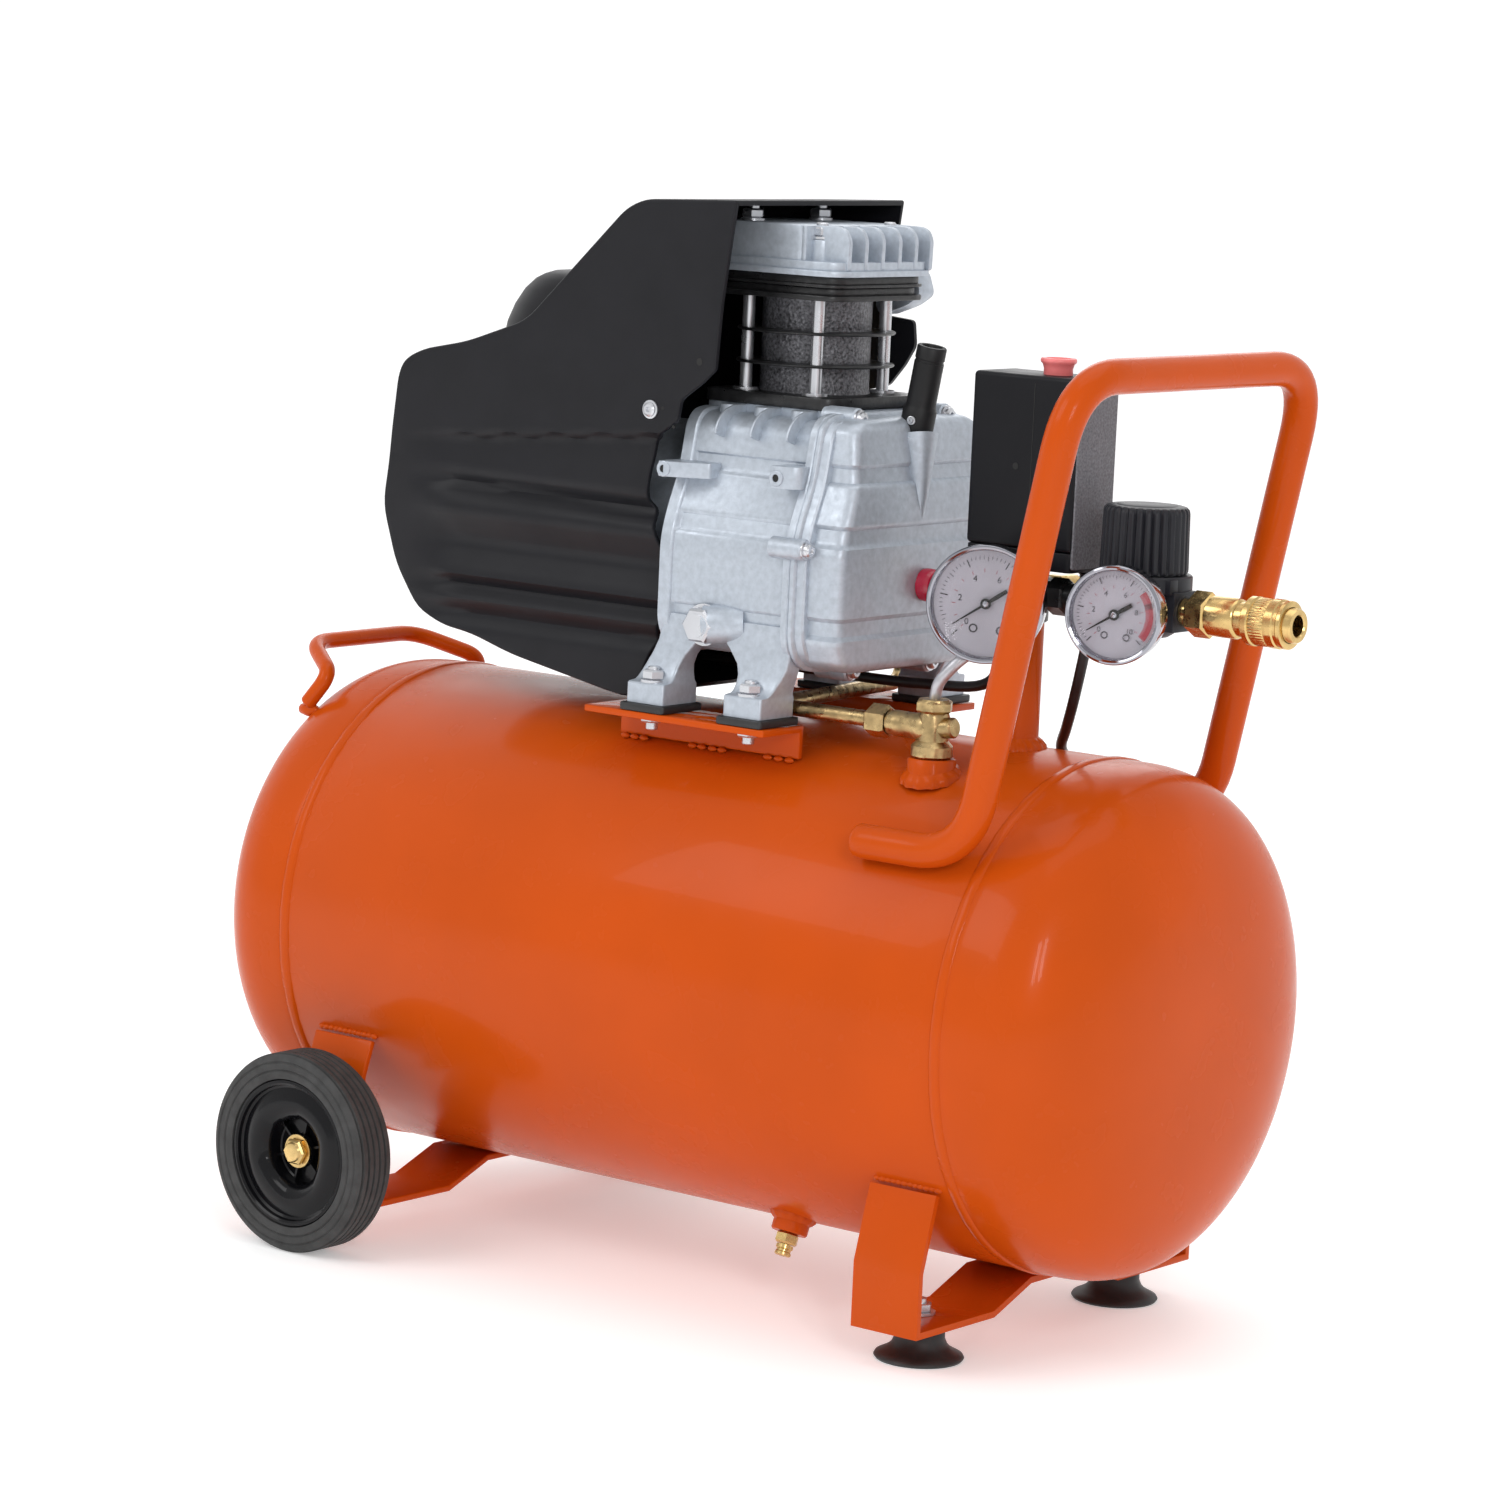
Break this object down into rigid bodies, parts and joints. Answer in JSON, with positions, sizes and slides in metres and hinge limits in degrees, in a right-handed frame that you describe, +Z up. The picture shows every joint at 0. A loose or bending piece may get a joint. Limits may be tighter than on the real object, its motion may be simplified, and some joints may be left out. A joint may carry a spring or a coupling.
{
  "type": "air compressor",
  "caption": "Wheeled direct-drive piston air compressor: a horizontal receiver with a pump, motor and shroud on top, and a switch, gauges, regulator and quick coupler.",
  "frame": {"origin": "on the ground under the middle of the overall length, without the supply cord", "axes": "+X along the tank from the wheels to the handle and coupler, +Y away from the gauge faces, +Z up"},
  "size_m": [0.7006, 0.452, 0.65],
  "materials": {
    "tank_paint": "gloss orange enamel",
    "foot_rubber": "matt black rubber",
    "wheel_plastic": "gloss black moulded plastic",
    "tyre_rubber": "matt grey-black solid rubber with grooves",
    "zinc_bolt": "yellow zinc plate",
    "cast_aluminium": "as-cast, silver painted",
    "sight_glass_red": "clear red plastic",
    "black_rubber": "satin black rubber",
    "plated_steel": "bright zinc plate",
    "black_cast_iron": "black painted casting",
    "shroud_plastic": "fine-grained black plastic",
    "motor_steel": "electrical steel",
    "brass": "bright turned brass",
    "switch_plastic": "grained black plastic",
    "knob_red": "satin red plastic",
    "gauge_chrome": "polished chrome",
    "needle_black": "black paint",
    "regulator_plastic": "satin black plastic",
    "cable_black": "smooth black cable sheath"
  },
  "bodies": {
    "base": {"tank_shell": "tank_paint", "tank_head_front": "tank_paint", "tank_head_rear": "tank_paint", "front_foot_strap": "tank_paint", "wheel_strap": "tank_paint", "front_handle": "tank_paint", "rear_handle": "tank_paint", "pump_rail_near": "tank_paint", "pump_rail_far": "tank_paint", "riser_pipe": "tank_paint", "rubber_foot_near": "foot_rubber", "rubber_foot_far": "foot_rubber", "axle_bolt_near": "zinc_bolt", "axle_bolt_far": "zinc_bolt", "crankcase": "cast_aluminium", "crankcase_cover": "cast_aluminium", "cylinder_head": "cast_aluminium", "piston": "cast_aluminium", "connecting_rod": "cast_aluminium", "motor_end_bell": "cast_aluminium", "oil_sight_glass": "sight_glass_red", "power_plug": "black_rubber", "oil_drain_plug": "plated_steel", "valve_plate": "plated_steel", "unloader_tube": "plated_steel", "cylinder": "black_cast_iron", "crank": "black_cast_iron", "outlet_manifold": "black_cast_iron", "fan_shroud": "shroud_plastic", "air_filter": "shroud_plastic", "motor_stator": "motor_steel", "bearing_front": "motor_steel", "discharge_tube": "brass", "check_valve": "brass", "coupler_body": "brass", "safety_valve_body": "brass", "drain_valve_body": "brass", "pressure_switch_base": "switch_plastic", "pressure_switch_cover": "switch_plastic", "tank_gauge_case": "gauge_chrome", "outlet_gauge_case": "gauge_chrome", "regulator_body": "regulator_plastic", "motor_lead": "cable_black", "power_cord": "cable_black", "power_cord_coil": "cable_black"},
    "near_wheel": {"wheel_hub_near": "wheel_plastic", "tyre_near": "tyre_rubber"},
    "far_wheel": {"wheel_hub_far": "wheel_plastic", "tyre_far": "tyre_rubber"},
    "motor_rotor": {"motor_rotor": "motor_steel", "cooling_fan": "shroud_plastic"},
    "switch_knob": {"switch_knob": "knob_red"},
    "regulator_spindle": {"regulator_spindle": "plated_steel"},
    "regulator_knob": {"regulator_knob": "regulator_plastic"},
    "tank_needle": {"tank_gauge_needle": "needle_black"},
    "outlet_needle": {"outlet_gauge_needle": "needle_black"},
    "coupler_sleeve": {"coupler_sleeve": "brass"},
    "safety_ring": {"safety_valve_ring": "plated_steel"},
    "drain_screw": {"drain_screw": "brass"},
    "oil_breather": {"oil_breather": "black_rubber"}
  },
  "joints": [
    {"name": "near_wheel_spin", "type": "hinge", "parent": "base", "child": "near_wheel", "pos_m": [-0.22275, -0.175, 0.061], "axis": [0, 1, 0], "continuous": true},
    {"name": "far_wheel_spin", "type": "hinge", "parent": "base", "child": "far_wheel", "pos_m": [-0.22275, 0.175, 0.061], "axis": [0, 1, 0], "continuous": true},
    {"name": "motor_spin", "type": "hinge", "parent": "base", "child": "motor_rotor", "pos_m": [-0.13575, 0, 0.448], "axis": [1, 0, 0], "continuous": true},
    {"name": "switch_push", "type": "slide", "parent": "base", "child": "switch_knob", "axis": [0, 0, 1], "range_m": [-0.005, 0]},
    {"name": "regulator_turn", "type": "hinge", "parent": "base", "child": "regulator_spindle", "pos_m": [0.24575, 0, 0.45], "axis": [0, 0, 1], "range_deg": [-540, 540]},
    {"name": "regulator_unlock", "type": "slide", "parent": "regulator_spindle", "child": "regulator_knob", "axis": [0, 0, 1], "range_m": [0, 0.004]},
    {"name": "tank_needle_swing", "type": "hinge", "parent": "base", "child": "tank_needle", "pos_m": [0.17925, -0.06, 0.429], "axis": [-0.4226, 0.9063, 0], "range_deg": [0, 270], "stiffness_Nm_per_rad": 0.0005},
    {"name": "outlet_needle_swing", "type": "hinge", "parent": "base", "child": "outlet_needle", "pos_m": [0.26575, -0.06, 0.432], "axis": [-0.2756, 0.9613, 0], "range_deg": [0, 270], "stiffness_Nm_per_rad": 0.0005},
    {"name": "coupler_pull_back", "type": "slide", "parent": "base", "child": "coupler_sleeve", "axis": [1, 0, 0], "range_m": [-0.005, 0], "stiffness_N_per_m": 1500},
    {"name": "safety_ring_pull", "type": "slide", "parent": "base", "child": "safety_ring", "axis": [0, 1, 0], "range_m": [0, 0.003], "stiffness_N_per_m": 1500},
    {"name": "drain_turn", "type": "hinge", "parent": "base", "child": "drain_screw", "pos_m": [0.06425, -0.06737, 0.03492], "axis": [0, -0.3963, -0.9181], "range_deg": [-720, 0]},
    {"name": "breather_pull_out", "type": "slide", "parent": "base", "child": "oil_breather", "axis": [0.1736, 0, 0.9848], "range_m": [0, 0.03]}
  ]
}
